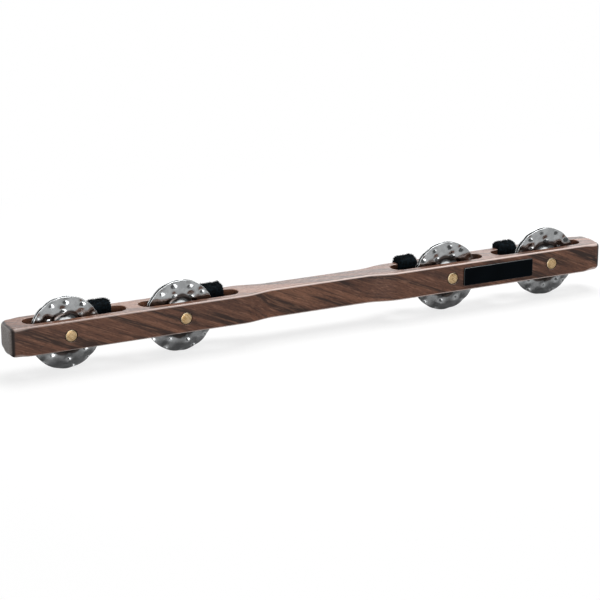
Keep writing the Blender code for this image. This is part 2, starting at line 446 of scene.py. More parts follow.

# Sanded brass: warm yellow metal with fine straight scratches from the last sanding, all one way, patches
# where it has begun to dull, and a paler rim on the rounded edge, which is a painted highlight.
brass, tree, shader, where = new_material("sanded brass")
scratch_size = (0.0060, 0.0060, 0.00035)
scratch_turn = (0.0, math.radians(38), 0.0)
dull_size = 0.0022
rim_start = 0.97
rim_full = 0.85
rim_highlight = 0.8
along_scratches = add_node(
    tree,
    "ShaderNodeMapping",
    {"Vector": where.outputs["Object"], "Rotation": scratch_turn, "Scale": scratch_size},
    vector_type="TEXTURE",
)
scratches = add_node(tree, "ShaderNodeTexNoise", {"Vector": along_scratches, "Scale": 1.0, "Detail": 2.0})
dulled = add_node(
    tree,
    "ShaderNodeTexNoise",
    {"Vector": where.outputs["Object"], "Scale": 1 / dull_size, "Detail": 2.0},
)
bright = add_node(
    tree,
    "ShaderNodeMapRange",
    {"Value": scratches, "From Min": 0.35, "From Max": 0.65},
    interpolation_type="SMOOTHSTEP",
)
metal = add_node(
    tree,
    "ShaderNodeMix",
    {"Factor": bright, "A": colour("#B38E5B"), "B": colour("#EED2A7")},
    data_type="RGBA",
)
dull = add_node(
    tree,
    "ShaderNodeMapRange",
    {"Value": dulled, "From Min": 0.55, "From Max": 0.75, "To Max": 0.5},
    interpolation_type="SMOOTHSTEP",
)
metal = add_node(
    tree, "ShaderNodeMix", {"Factor": dull, "A": metal, "B": colour("#8F7048")}, data_type="RGBA"
)
turned_away = add_node(tree, "ShaderNodeSeparateXYZ", {"Vector": where.outputs["Normal"]})
faces_out = add_node(tree, "ShaderNodeMath", {0: turned_away.outputs["Y"]}, operation="ABSOLUTE")
# A paler rim painted on the pin's rounded edge: a painted highlight.
rim_highlight_and_worn_patches = add_node(
    tree,
    "ShaderNodeMapRange",
    {"Value": faces_out, "From Min": rim_start, "From Max": rim_full, "To Max": rim_highlight},
    interpolation_type="SMOOTHSTEP",
)
metal = add_node(
    tree, "ShaderNodeMix", {"Factor": rim_highlight_and_worn_patches, "A": metal, "B": colour("#F2E0BE")}, data_type="RGBA"
)
satin = add_node(
    tree,
    "ShaderNodeMapRange",
    {"Value": scratches, "From Min": 0.3, "From Max": 0.7, "To Min": 0.40, "To Max": 0.28},
)
scored = add_node(tree, "ShaderNodeBump", {"Strength": 0.5, "Distance": 0.00004, "Height": scratches})
feed(shader, {"Base Color": metal, "Roughness": satin, "Metallic": 1.0, "Normal": scored})

for number, pin_place in pin_places.items():
    pin_low, pin_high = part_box(f"pin_{number}")
    half_length = (pin_high.y - pin_low.y) / 2
    end_rings = [
        (0.0, half_length - pin_chamfer),
        (-pin_chamfer_bulge, half_length - pin_chamfer_bulge),
        (-pin_chamfer, half_length),
        (-pin_crown_edge, half_length + pin_crown),
        (-pin_crown_middle, half_length + pin_crown),
    ]
    pin = loft(
        f"brass_pin_{number}",
        arc((0, 0), pin_radius, 0, 360, circle_steps)[:-1],
        upside_down(end_rings) + end_rings,
        Matrix.Translation(pin_place) @ facing_front,
    )
    smooth_with_flats(pin, sharp_angle=60)
    pin.data.materials.append(brass)
    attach(pin, "stick")
    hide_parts(f"pin_{number}")

# Eight jingles hang on the pins in pairs, dome outwards and rim to rim. Each is stamped from bright steel
# sheet with a raised dome round its hole, then hammered with two rings of punch marks that dent the flange.
jingle_low, jingle_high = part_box("jingle_1_front")
jingle_rim_radius = (jingle_high.x - jingle_low.x) / 2
jingle_sheet = 0.0008
jingle_rim_bevel = 0.00028
jingle_slack = 0.001
jingle_half_gap = 0.001
jingle_numbers = {
    "Hole radius": 0.0053,
    "Dome radius": 0.0088,
    "Foot radius": 0.0142,
    "Rim radius": jingle_rim_radius,
    "Dome height": 0.0028,
    "Flange rise": 0.0004,
    "Inner ring": 0.66 * jingle_rim_radius,
    "Outer ring": 0.935 * jingle_rim_radius,
    "Mark radius": 0.0035,
    "Mark depth": 0.00098,
    "Mark scatter": 0.0008,
    "Wave size": 0.0085,
    "Wave height": 0.00024,
    "Crease radius": 0.0121,
    "Crease half width": 0.0022,
    "Crease scallop": 0.0017,
}
mark_counts = {"Inner marks": 8, "Outer marks": 13}
first_hang_degrees = 5
hang_step_degrees = 12
turn_between_pair = math.radians(16.6)
seeds_per_pin = 10

# Hammered steel: bright grey sheet, nearly a mirror, dulled a little by handling, with fine wavering scuffs
# and faint cloudy stains. The crease round the foot of the dome is painted dark brown: a painted
# reflection of the shaded wood.
steel, tree, shader, where = new_material("hammered steel")
stain_size = 0.005
scuff_size = (0.0040, 0.0006, 0.0006)
scuff_turn = (0.0, math.radians(-32), 0.0)
crease_reflection_share = 0.9
stains = add_node(
    tree,
    "ShaderNodeTexNoise",
    {"Vector": where.outputs["Object"], "Scale": 1 / stain_size, "Detail": 3.0, "Distortion": 0.5},
)
along_scuffs = add_node(
    tree,
    "ShaderNodeMapping",
    {"Vector": where.outputs["Object"], "Rotation": scuff_turn, "Scale": scuff_size},
    vector_type="TEXTURE",
)
scuffs = add_node(
    tree,
    "ShaderNodeTexNoise",
    {"Vector": along_scuffs, "Scale": 1.0, "Detail": 2.0, "Distortion": 1.0},
)
stained = add_node(
    tree,
    "ShaderNodeMapRange",
    {"Value": stains, "From Min": 0.35, "From Max": 0.65},
    interpolation_type="SMOOTHSTEP",
)
metal = add_node(
    tree,
    "ShaderNodeMix",
    {"Factor": stained, "A": colour("#A5A7A8"), "B": colour("#B6B8B9")},
    data_type="RGBA",
)
scuffed = add_node(
    tree,
    "ShaderNodeMapRange",
    {"Value": scuffs, "From Min": 0.60, "From Max": 0.78, "To Max": 0.35},
    interpolation_type="SMOOTHSTEP",
)
metal = add_node(
    tree, "ShaderNodeMix", {"Factor": scuffed, "A": metal, "B": colour("#85888A")}, data_type="RGBA"
)
# The crease round the dome's foot is painted dark brown: a painted reflection of the shaded wood.
crease = add_node(tree, "ShaderNodeAttribute", attribute_name="crease")
painted_crease_reflection = add_node(
    tree, "ShaderNodeMath", {0: crease.outputs["Fac"], 1: crease_reflection_share}, operation="MULTIPLY"
)
metal = add_node(
    tree, "ShaderNodeMix", {"Factor": painted_crease_reflection, "A": metal, "B": colour("#3A2D27")}, data_type="RGBA"
)
polish = add_node(
    tree,
    "ShaderNodeMapRange",
    {"Value": stains, "From Min": 0.3, "From Max": 0.7, "To Min": 0.23, "To Max": 0.15},
)
scratched = add_node(tree, "ShaderNodeBump", {"Strength": 0.3, "Distance": 0.00002, "Height": scuffs})
feed(shader, {"Base Color": metal, "Roughness": polish, "Metallic": 1.0, "Normal": scratched})


def new_rule(name, kinds, output):
    """A Geometry Nodes group whose inputs are of the kinds given by name, with one geometry output."""
    rule = bpy.data.node_groups.new(name, "GeometryNodeTree")
    for label, kind in kinds.items():
        rule.interface.new_socket(label, in_out="INPUT", socket_type=f"NodeSocket{kind}")
    rule.interface.new_socket(output, in_out="OUTPUT", socket_type="NodeSocketGeometry")
    return rule, rule.nodes.new("NodeGroupInput").outputs, rule.nodes.new("NodeGroupOutput").inputs


def follow_rule(piece, rule, values):
    """Shapes the piece by a rule, whose inputs are given by name."""
    modifier = piece.modifiers.new(rule.name, "NODES")
    modifier.node_group = rule
    for item in rule.interface.items_tree:
        if item.in_out == "INPUT" and item.name in values:
            modifier[item.identifier] = values[item.name]


# The rule of a jingle's shape: a flat grid is rolled into a ring, raised to the dome's profile, and dented
# where two scattered rings of punch marks lie near. The crease at the foot of the dome, which bows out
# between the inner marks, is kept as an attribute for the painted reflection there.
jingle_across_points = 46
jingle_round_points = 281
crease_core_share = 0.5
bowl_steepness = 2.2
wave_rise = 2.4
wave_drop = 1.6
foot_inside = 0.0010
foot_outside = 0.0012
kinds = {
    **dict.fromkeys(jingle_numbers, "Float"),
    **dict.fromkeys((*mark_counts, "Seed"), "Int"),
    "Steel": "Material",
}
jingle_rule, given, made = new_rule("hammered jingle", kinds, "Jingle")
flat_grid = add_node(
    jingle_rule,
    "GeometryNodeMeshGrid",
    {"Size X": 1, "Size Y": 1, "Vertices X": jingle_across_points, "Vertices Y": jingle_round_points},
)
grid_place = add_node(jingle_rule, "GeometryNodeInputPosition")
on_grid = add_node(jingle_rule, "ShaderNodeSeparateXYZ", {"Vector": grid_place})
radius = add_node(
    jingle_rule,
    "ShaderNodeMapRange",
    {
        "Value": on_grid.outputs["X"],
        "From Min": -0.5,
        "From Max": 0.5,
        "To Min": given["Hole radius"],
        "To Max": given["Rim radius"],
    },
)
angle = add_node(
    jingle_rule,
    "ShaderNodeMapRange",
    {"Value": on_grid.outputs["Y"], "From Min": -0.5, "From Max": 0.5, "To Max": 2 * math.pi},
)
up_the_dome = add_node(
    jingle_rule,
    "ShaderNodeMapRange",
    {
        "Value": radius,
        "From Min": given["Dome radius"],
        "From Max": given["Foot radius"],
        "To Min": 1.0,
        "To Max": 0.0,
    },
)
sweep = add_node(jingle_rule, "ShaderNodeMath", {0: up_the_dome, 1: up_the_dome}, operation="MULTIPLY")
dome = add_node(jingle_rule, "ShaderNodeMath", {0: sweep, 1: given["Dome height"]}, operation="MULTIPLY")
flange = add_node(
    jingle_rule,
    "ShaderNodeMapRange",
    {
        "Value": radius,
        "From Min": given["Foot radius"],
        "From Max": given["Rim radius"],
        "To Min": given["Flange rise"],
        "To Max": 0.0,
    },
)
cosine = add_node(jingle_rule, "ShaderNodeMath", {0: angle}, operation="COSINE")
sine = add_node(jingle_rule, "ShaderNodeMath", {0: angle}, operation="SINE")
round_place = add_node(
    jingle_rule,
    "ShaderNodeCombineXYZ",
    {
        "X": add_node(jingle_rule, "ShaderNodeMath", {0: radius, 1: cosine}, operation="MULTIPLY"),
        "Y": add_node(jingle_rule, "ShaderNodeMath", {0: radius, 1: sine}, operation="MULTIPLY"),
        "Z": add_node(jingle_rule, "ShaderNodeMath", {0: dome, 1: flange}, operation="ADD"),
    },
)
marks_passed = add_node(
    jingle_rule, "ShaderNodeMath", {0: angle, 1: given["Inner marks"]}, operation="MULTIPLY"
)
half_waves = add_node(jingle_rule, "ShaderNodeMath", {0: marks_passed, 1: 2.0}, operation="DIVIDE")
swing = add_node(jingle_rule, "ShaderNodeMath", {0: half_waves}, operation="SINE")
between_marks = add_node(jingle_rule, "ShaderNodeMath", {0: swing}, operation="ABSOLUTE")
scallop = add_node(
    jingle_rule, "ShaderNodeMath", {0: between_marks, 1: given["Crease scallop"]}, operation="MULTIPLY"
)
crease_here = add_node(
    jingle_rule, "ShaderNodeMath", {0: given["Crease radius"], 1: scallop}, operation="ADD"
)
from_crease = add_node(jingle_rule, "ShaderNodeMath", {0: radius, 1: crease_here}, operation="SUBTRACT")
crease_distance = add_node(jingle_rule, "ShaderNodeMath", {0: from_crease}, operation="ABSOLUTE")
crease_core = add_node(
    jingle_rule,
    "ShaderNodeMath",
    {0: given["Crease half width"], 1: crease_core_share},
    operation="MULTIPLY",
)
in_crease = add_node(
    jingle_rule,
    "ShaderNodeMapRange",
    {"Value": crease_distance, "From Min": given["Crease half width"], "From Max": crease_core},
    interpolation_type="SMOOTHSTEP",
)
creased = add_node(
    jingle_rule,
    "GeometryNodeStoreNamedAttribute",
    {"Geometry": flat_grid, "Name": "crease", "Value": in_crease},
    data_type="FLOAT",
    domain="POINT",
)
rolled = add_node(jingle_rule, "GeometryNodeSetPosition", {"Geometry": creased, "Position": round_place})
closed = add_node(jingle_rule, "GeometryNodeMergeByDistance", {"Geometry": rolled, "Distance": 0.00001})
inner_ring = add_node(
    jingle_rule,
    "GeometryNodeMeshCircle",
    {"Vertices": given["Inner marks"], "Radius": given["Inner ring"]},
)
outer_ring = add_node(
    jingle_rule,
    "GeometryNodeMeshCircle",
    {"Vertices": given["Outer marks"], "Radius": given["Outer ring"]},
)
punch_rings = add_node(jingle_rule, "GeometryNodeJoinGeometry", {"Geometry": inner_ring})
jingle_rule.links.new(outer_ring.outputs["Mesh"], punch_rings.inputs["Geometry"])
scatter = add_node(
    jingle_rule,
    "FunctionNodeRandomValue",
    {"Min": (-1.0, -1.0, 0.0), "Max": (1.0, 1.0, 0.0), "Seed": given["Seed"]},
    data_type="FLOAT_VECTOR",
)
aside = add_node(
    jingle_rule,
    "ShaderNodeVectorMath",
    {"Vector": scatter, "Scale": given["Mark scatter"]},
    operation="SCALE",
)
marks = add_node(jingle_rule, "GeometryNodeSetPosition", {"Geometry": punch_rings, "Offset": aside})
sheet_place = add_node(jingle_rule, "GeometryNodeInputPosition")
on_sheet = add_node(jingle_rule, "ShaderNodeSeparateXYZ", {"Vector": sheet_place})
level_place = add_node(
    jingle_rule, "ShaderNodeCombineXYZ", {"X": on_sheet.outputs["X"], "Y": on_sheet.outputs["Y"]}
)
nearest = add_node(
    jingle_rule,
    "GeometryNodeSampleNearest",
    {"Geometry": marks, "Sample Position": level_place},
    domain="POINT",
)
blow = add_node(
    jingle_rule,
    "FunctionNodeRandomValue",
    {"Min": 0.6, "Max": 1.0, "Seed": given["Seed"]},
    data_type="FLOAT",
)
blow_here = add_node(
    jingle_rule,
    "GeometryNodeSampleIndex",
    {"Geometry": marks, "Value": blow, "Index": nearest},
    data_type="FLOAT",
    domain="POINT",
)
from_mark = add_node(
    jingle_rule,
    "GeometryNodeProximity",
    {"Geometry": marks, "Sample Position": level_place},
    target_element="POINTS",
)
reach = add_node(
    jingle_rule,
    "ShaderNodeMath",
    {0: from_mark.outputs["Distance"], 1: given["Mark radius"]},
    operation="DIVIDE",
)
reach_squared = add_node(jingle_rule, "ShaderNodeMath", {0: reach, 1: reach}, operation="MULTIPLY")
fall = add_node(
    jingle_rule, "ShaderNodeMath", {0: reach_squared, 1: -bowl_steepness}, operation="MULTIPLY"
)
bowl = add_node(jingle_rule, "ShaderNodeMath", {0: fall}, operation="EXPONENT")
deepest = add_node(
    jingle_rule, "ShaderNodeMath", {0: blow_here, 1: given["Mark depth"]}, operation="MULTIPLY"
)
dent = add_node(jingle_rule, "ShaderNodeMath", {0: bowl, 1: deepest}, operation="MULTIPLY")
waves_per_metre = add_node(
    jingle_rule, "ShaderNodeMath", {0: 1.0, 1: given["Wave size"]}, operation="DIVIDE"
)
wave = add_node(
    jingle_rule,
    "ShaderNodeTexNoise",
    {"Vector": level_place, "W": given["Seed"], "Scale": waves_per_metre, "Detail": 1.0},
    noise_dimensions="4D",
)
wave_most = add_node(
    jingle_rule, "ShaderNodeMath", {0: given["Wave height"], 1: wave_rise}, operation="MULTIPLY"
)
wave_least = add_node(
    jingle_rule, "ShaderNodeMath", {0: given["Wave height"], 1: -wave_drop}, operation="MULTIPLY"
)
wave_height = add_node(
    jingle_rule, "ShaderNodeMapRange", {"Value": wave, "To Min": wave_least, "To Max": wave_most}
)
beaten = add_node(jingle_rule, "ShaderNodeMath", {0: wave_height, 1: dent}, operation="SUBTRACT")
distance_out = add_node(jingle_rule, "ShaderNodeVectorMath", {"Vector": level_place}, operation="LENGTH")
foot_start = add_node(
    jingle_rule, "ShaderNodeMath", {0: given["Foot radius"], 1: foot_inside}, operation="SUBTRACT"
)
foot_end = add_node(
    jingle_rule, "ShaderNodeMath", {0: given["Foot radius"], 1: foot_outside}, operation="ADD"
)
on_flange = add_node(
    jingle_rule,
    "ShaderNodeMapRange",
    {"Value": distance_out.outputs["Value"], "From Min": foot_start, "From Max": foot_end},
    interpolation_type="SMOOTHSTEP",
)
raised_by = add_node(jingle_rule, "ShaderNodeMath", {0: beaten, 1: on_flange}, operation="MULTIPLY")
straight_up = add_node(jingle_rule, "ShaderNodeCombineXYZ", {"Z": raised_by})
hammered = add_node(jingle_rule, "GeometryNodeSetPosition", {"Geometry": closed, "Offset": straight_up})
smooth = add_node(jingle_rule, "GeometryNodeSetShadeSmooth", {"Geometry": hammered})
real = add_node(jingle_rule, "GeometryNodeRealizeInstances", {"Geometry": smooth})
finished = add_node(jingle_rule, "GeometryNodeSetMaterial", {"Geometry": real, "Material": given["Steel"]})
jingle_rule.links.new(finished.outputs["Geometry"], made["Jingle"])

for number, pin_place in pin_places.items():
    hang_angle = math.radians(first_hang_degrees + hang_step_degrees * (number - 1))
    sides = (
        ("front", facing_front, -1, hang_angle),
        ("rear", facing_back, 1, turn_between_pair - hang_angle),
    )
    for side, facing, direction, turn in sides:
        jingle = add_piece(f"steel_jingle_{number}_{side}", bpy.data.meshes.new("jingle"))
        seed = seeds_per_pin * number + direction
        follow_rule(jingle, jingle_rule, {**jingle_numbers, **mark_counts, "Seed": seed, "Steel": steel})
        sheet = jingle.modifiers.new("sheet", "SOLIDIFY")
        sheet.thickness = jingle_sheet
        sheet.offset = 1.0
        rim = jingle.modifiers.new("rim", "BEVEL")
        rim.width = jingle_rim_bevel
        rim.segments = 2
        rim.limit_method = "ANGLE"
        rim.angle_limit = math.radians(55)
        settle(jingle)
        centre = Vector((pin_place.x, direction * jingle_half_gap, -jingle_slack))
        jingle.data.transform(Matrix.Translation(centre) @ facing @ Matrix.Rotation(turn, 4, "Z"))
        jingle.data.shade_smooth()
        jingle.data.set_sharp_from_angle(angle=math.radians(50))
        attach(jingle, f"jingle_{number}_{side}")
        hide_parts(f"jingle_{number}_{side}")

# Four fleece bands quieten the jingles. Each is a thick napped strip, wrapped round the rear rail beside a
# pair of jingles and closed on itself, and it grips the wood by its own pull, so it can be slid along.
# The two on the right are rolled rounder at the edges.
band_wall = 0.003
band_crown = 0.0042
band_fit = 0.0003
band_round_points = 128
band_across_points = 26
band_edge_shares = {1: 0.16, 2: 0.18, 3: 0.34, 4: 0.36}
band_edge_thickness = 0.30
band_inner_share = 0.97
band_inner_corner = 0.0008

# Napped fleece: black knitted pile with a faint cold tint, matt, brushed up into tufts whose tips catch a
# little light. Its fibres are drawn some five times thicker than real ones, which would be too fine to see.
fleece, tree, shader, where = new_material("black napped fleece")
tuft_size = 0.0016
worn_size = 0.005
tufts = add_node(
    tree, "ShaderNodeTexNoise", {"Vector": where.outputs["Object"], "Scale": 1 / tuft_size, "Detail": 2.0}
)
rim_highlight_and_worn_patches = add_node(
    tree, "ShaderNodeTexNoise", {"Vector": where.outputs["Object"], "Scale": 1 / worn_size, "Detail": 1.0}
)
tips = add_node(
    tree,
    "ShaderNodeMapRange",
    {"Value": tufts, "From Min": 0.38, "From Max": 0.68},
    interpolation_type="SMOOTHSTEP",
)
pile = add_node(
    tree,
    "ShaderNodeMix",
    {"Factor": tips, "A": colour("#000102"), "B": colour("#0D171D")},
    data_type="RGBA",
)
faded = add_node(
    tree,
    "ShaderNodeMapRange",
    {"Value": rim_highlight_and_worn_patches, "From Min": 0.55, "From Max": 0.75, "To Max": 0.4},
    interpolation_type="SMOOTHSTEP",
)
pile = add_node(
    tree, "ShaderNodeMix", {"Factor": faded, "A": pile, "B": colour("#0B1318")}, data_type="RGBA"
)
napped = add_node(tree, "ShaderNodeBump", {"Strength": 0.8, "Distance": 0.0004, "Height": tufts})
feed(shader, {"Base Color": pile, "Roughness": 0.95, "Specular IOR Level": 0.1, "Normal": napped})
feed(shader, {"Sheen Weight": 0.03, "Sheen Roughness": 0.5, "Sheen Tint": colour("#9DB4BC")})


def rounded_box(low, high, radii, steps):
    """Anticlockwise outline of a box with its own radius at each corner, from the corner high in both."""
    centres = (
        (high[0] - radii[0], high[1] - radii[0]),
        (low[0] + radii[1], high[1] - radii[1]),
        (low[0] + radii[2], low[1] + radii[2]),
        (high[0] - radii[3], low[1] + radii[3]),
    )
    points = []
    for corner, centre in enumerate(centres):
        points += arc(centre, radii[corner], 90 * corner, 90 * corner + 90, steps)
    return points


def even_points(outline, count):
    """The closed outline walked round in equal steps."""
    corners = [Vector(point) for point in outline + outline[:1]]
    lengths = [(second - first).length for first, second in zip(corners, corners[1:])]
    step = sum(lengths) / count
    points = []
    walked = 0.0
    for first, second, length in zip(corners, corners[1:], lengths):
        while len(points) < count and len(points) * step < walked + length:
            points.append(first.lerp(second, (len(points) * step - walked) / length))
        walked += length
    return points


def wrapped_band(low, high, edge_share):
    """A soft ring round the rear rail: thick in the middle of its width, with rolled edges."""
    rail_low = (low.y + band_wall, low.z + band_wall)
    rail_high = (high.y - band_wall, high.z - band_crown)
    soft = bar_edge_radius + band_fit
    crown = band_wall + soft
    inner_radii = (soft, band_inner_corner, band_inner_corner, soft)
    against_wood = rounded_box(rail_low, rail_high, inner_radii, steps=8)
    outside = rounded_box(low.yz, high.yz, (crown, crown, band_wall, crown), steps=12)
    inner = even_points(against_wood, band_round_points)
    outer = even_points(outside, band_round_points)
    half_width = (high.x - low.x) / 2
    middle = (low.x + high.x) / 2
    shape = bmesh.new()
    nap = shape.verts.layers.float.new("nap")
    loops = []
    for under, over in zip(inner, outer):
        loop = []
        for across in range(band_across_points):
            aside = -1 + 2 * across / (band_across_points - 1)
            inside = middle + band_inner_share * half_width * aside
            loop.append(shape.verts.new((inside, under.x, under.y)))
        for across in range(band_across_points):
            aside = 1 - 2 * across / (band_across_points - 1)
            from_edge = min(1.0, (1 - abs(aside)) / edge_share)
            bulge = math.sqrt(1 - (1 - from_edge) ** 2)
            here = under.lerp(over, band_edge_thickness + (1 - band_edge_thickness) * bulge)
            vert = shape.verts.new((middle + half_width * aside, here.x, here.y))
            vert[nap] = 1.0
            loop.append(vert)
        loops.append(loop)
    skin(shape, loops + loops[:1])
    bmesh.ops.recalc_face_normals(shape, faces=shape.faces)
    return as_mesh(shape, "band")


# The rule of the nap: the band's outside swells into small lumps, and tapered fibres stand on it at random.
# The wall that faces the jingle stays smooth, so that they clear each other.
nap_numbers = {
    "Lump size": 0.0030,
    "Lump height": 0.0009,
    "Fibre length": 0.0013,
    "Fibre radius": 0.00013,
    "Fibre density": 4.5e6,
    "Jingle side": 0.0045,
}
clear_ramp = 0.0012
lump_rise = 1.1
lump_drop = 1.9
fibre_lean = 0.8
shortest_fibre = 0.45
seed_before_first = 3
kinds = {"Band": "Geometry", **dict.fromkeys(nap_numbers, "Float"), "Seed": "Int", "Fleece": "Material"}
nap_rule, given, made = new_rule("napped fleece", kinds, "Napped band")
spot = add_node(nap_rule, "GeometryNodeInputPosition")
spot_parts = add_node(nap_rule, "ShaderNodeSeparateXYZ", {"Vector": spot})
outside = add_node(nap_rule, "GeometryNodeInputNamedAttribute", {"Name": "nap"}, data_type="FLOAT")
clear_of_jingle = add_node(
    nap_rule, "ShaderNodeMath", {0: given["Jingle side"], 1: clear_ramp}, operation="ADD"
)
off_jingle = add_node(
    nap_rule,
    "ShaderNodeMapRange",
    {"Value": spot_parts.outputs["Y"], "From Min": given["Jingle side"], "From Max": clear_of_jingle},
)
free = add_node(
    nap_rule, "ShaderNodeMath", {0: off_jingle, 1: outside.outputs["Attribute"]}, operation="MULTIPLY"
)
lumps_per_metre = add_node(
    nap_rule, "ShaderNodeMath", {0: 1.0, 1: given["Lump size"]}, operation="DIVIDE"
)
lumps = add_node(
    nap_rule,
    "ShaderNodeTexNoise",
    {"Vector": spot, "W": given["Seed"], "Scale": lumps_per_metre, "Detail": 2.0, "Roughness": 0.6},
    noise_dimensions="4D",
)
lump_most = add_node(
    nap_rule, "ShaderNodeMath", {0: given["Lump height"], 1: lump_rise}, operation="MULTIPLY"
)
lump_least = add_node(
    nap_rule, "ShaderNodeMath", {0: given["Lump height"], 1: -lump_drop}, operation="MULTIPLY"
)
lump = add_node(nap_rule, "ShaderNodeMapRange", {"Value": lumps, "To Min": lump_least, "To Max": lump_most})
free_lump = add_node(nap_rule, "ShaderNodeMath", {0: lump, 1: free}, operation="MULTIPLY")
outwards = add_node(nap_rule, "GeometryNodeInputNormal")
swell = add_node(
    nap_rule, "ShaderNodeVectorMath", {"Vector": outwards, "Scale": free_lump}, operation="SCALE"
)
lumpy = add_node(nap_rule, "GeometryNodeSetPosition", {"Geometry": given["Band"], "Offset": swell})
soft_shaded = add_node(nap_rule, "GeometryNodeSetShadeSmooth", {"Geometry": lumpy})
fibres_here = add_node(
    nap_rule, "ShaderNodeMath", {0: given["Fibre density"], 1: free}, operation="MULTIPLY"
)
roots = add_node(
    nap_rule,
    "GeometryNodeDistributePointsOnFaces",
    {"Mesh": soft_shaded, "Density": fibres_here, "Seed": given["Seed"]},
    distribute_method="RANDOM",
)
lean = add_node(
    nap_rule,
    "FunctionNodeRandomValue",
    {"Min": (-fibre_lean,) * 3, "Max": (fibre_lean,) * 3, "Seed": given["Seed"]},
    data_type="FLOAT_VECTOR",
)
heading = add_node(nap_rule, "ShaderNodeVectorMath", {0: roots.outputs["Normal"], 1: lean}, operation="ADD")
upright = add_node(nap_rule, "FunctionNodeAlignRotationToVector", {"Vector": heading}, axis="Z")
fibre_shape = add_node(
    nap_rule,
    "GeometryNodeMeshCone",
    {
        "Vertices": 4,
        "Side Segments": 1,
        "Radius Top": 0.0,
        "Radius Bottom": given["Fibre radius"],
        "Depth": given["Fibre length"],
    },
    fill_type="NONE",
)
growth = add_node(
    nap_rule,
    "FunctionNodeRandomValue",
    {"Min": shortest_fibre, "Max": 1.0, "Seed": given["Seed"]},
    data_type="FLOAT",
)
standing = add_node(
    nap_rule,
    "GeometryNodeInstanceOnPoints",
    {"Points": roots, "Instance": fibre_shape, "Rotation": upright, "Scale": growth},
)
together = add_node(nap_rule, "GeometryNodeJoinGeometry", {"Geometry": soft_shaded})
nap_rule.links.new(standing.outputs["Instances"], together.inputs["Geometry"])
real = add_node(nap_rule, "GeometryNodeRealizeInstances", {"Geometry": together})
finished = add_node(nap_rule, "GeometryNodeSetMaterial", {"Geometry": real, "Material": given["Fleece"]})
nap_rule.links.new(finished.outputs["Geometry"], made["Napped band"])

for number in pin_numbers:
    band_mesh = wrapped_band(*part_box(f"damper_{number}"), band_edge_shares[number])
    band = add_piece(f"fleece_band_{number}", band_mesh)
    seed = seed_before_first + number
    follow_rule(band, nap_rule, {**nap_numbers, "Seed": seed, "Fleece": fleece})
    settle(band)
    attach(band, f"damper_{number}")
    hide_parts(f"damper_{number}")

# A small thin plate is stuck to the front face between the right-hand pins. It is cut from black gloss
# plastic with rounded corners and polished edges, and its face is plain.
plate_low, plate_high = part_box("label_plate")
plate_corner_radius = 0.0012
plate_edge_radius = 0.0007
plate_middle = (plate_low + plate_high) / 2
plate_half_length = (plate_high.x - plate_low.x) / 2
plate_half_height = (plate_high.z - plate_low.z) / 2
plate_back = 0.00002
plate_front = -plate_low.y - bar_half_width
face_flatness = 0.97

# Black gloss plastic: the face has an even black coat that gives back little light, with a slow ripple from
# the sheet and a few faint wipe marks. The rounded edges are polished plastic and catch a bright line.
coat, tree, shader, where = new_material("black coated plastic")
ripple_size = 0.012
wipe_size = (0.010, 0.010, 0.0012)
wipe_turn = (0.0, math.radians(12), 0.0)
ripple = add_node(
    tree, "ShaderNodeTexNoise", {"Vector": where.outputs["Object"], "Scale": 1 / ripple_size, "Detail": 0.0}
)
along_wipes = add_node(
    tree,
    "ShaderNodeMapping",
    {"Vector": where.outputs["Object"], "Rotation": wipe_turn, "Scale": wipe_size},
    vector_type="TEXTURE",
)
wipes = add_node(tree, "ShaderNodeTexNoise", {"Vector": along_wipes, "Scale": 1.0, "Detail": 2.0})
black = add_node(
    tree,
    "ShaderNodeMix",
    {"Factor": ripple, "A": colour("#010406"), "B": colour("#060B10")},
    data_type="RGBA",
)
wiped = add_node(
    tree,
    "ShaderNodeMapRange",
    {"Value": wipes, "From Min": 0.55, "From Max": 0.75, "To Min": 0.14, "To Max": 0.24},
    interpolation_type="SMOOTHSTEP",
)
waved = add_node(tree, "ShaderNodeBump", {"Strength": 0.2, "Distance": 0.0002, "Height": ripple})
feed(shader, {"Base Color": black, "Roughness": wiped, "Specular IOR Level": 0.03, "Normal": waved})
polished, tree, shader, where = new_material("polished black plastic")
ripple = add_node(
    tree, "ShaderNodeTexNoise", {"Vector": where.outputs["Object"], "Scale": 1 / ripple_size, "Detail": 1.0}
)
black = add_node(
    tree,
    "ShaderNodeMix",
    {"Factor": ripple, "A": colour("#05090C"), "B": colour("#0C1318")},
    data_type="RGBA",
)
feed(shader, {"Base Color": black, "Roughness": 0.18, "Specular IOR Level": 0.7})

plate_outline = rounded_box(
    (-plate_half_length, -plate_half_height),
    (plate_half_length, plate_half_height),
    (plate_corner_radius,) * 4,
    steps=8,
)
plate_rings = [(0.0, plate_back)] + rounded_edge(plate_edge_radius, plate_front, steps=5)
plate_place = Matrix.Translation((plate_middle.x, -bar_half_width, plate_middle.z)) @ facing_front
black_plate = loft("black_plate", plate_outline, plate_rings, plate_place)
smooth_with_flats(black_plate, sharp_angle=60)
black_plate.data.materials.append(coat)
black_plate.data.materials.append(polished)
for polygon in black_plate.data.polygons:
    polygon.material_index = 0 if abs(polygon.normal.y) > face_flatness else 1
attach(black_plate, "stick")
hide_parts("label_plate")

# The studio is a white table that runs on out of sight, under a wide softbox overhead, with one low in front
# and one low behind. Metal mirrors a white back and ceiling and a dark front. The stick stands on its
# jingles, and the camera looks down on it from the left with a long lens.
floor_half_size = 6.0
floor_height = min(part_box(f"jingle_{number}_front")[0].z for number in pin_numbers)
shape = bmesh.new()
bmesh.ops.create_grid(shape, x_segments=1, y_segments=1, size=floor_half_size)
floor_mesh = as_mesh(shape, "white_table")
floor_mesh.transform(Matrix.Translation((0, 0, floor_height)))
floor = add_piece("white_table", floor_mesh)


def rays_seen(tree):
    """The kinds of ray, and whether this one is the camera's, straight or through something clear."""
    ray = add_node(tree, "ShaderNodeLightPath")
    seen = add_node(
        tree,
        "ShaderNodeMath",
        {0: ray.outputs["Is Camera Ray"], 1: ray.outputs["Is Transmission Ray"]},
        operation="MAXIMUM",
    )
    return ray, seen
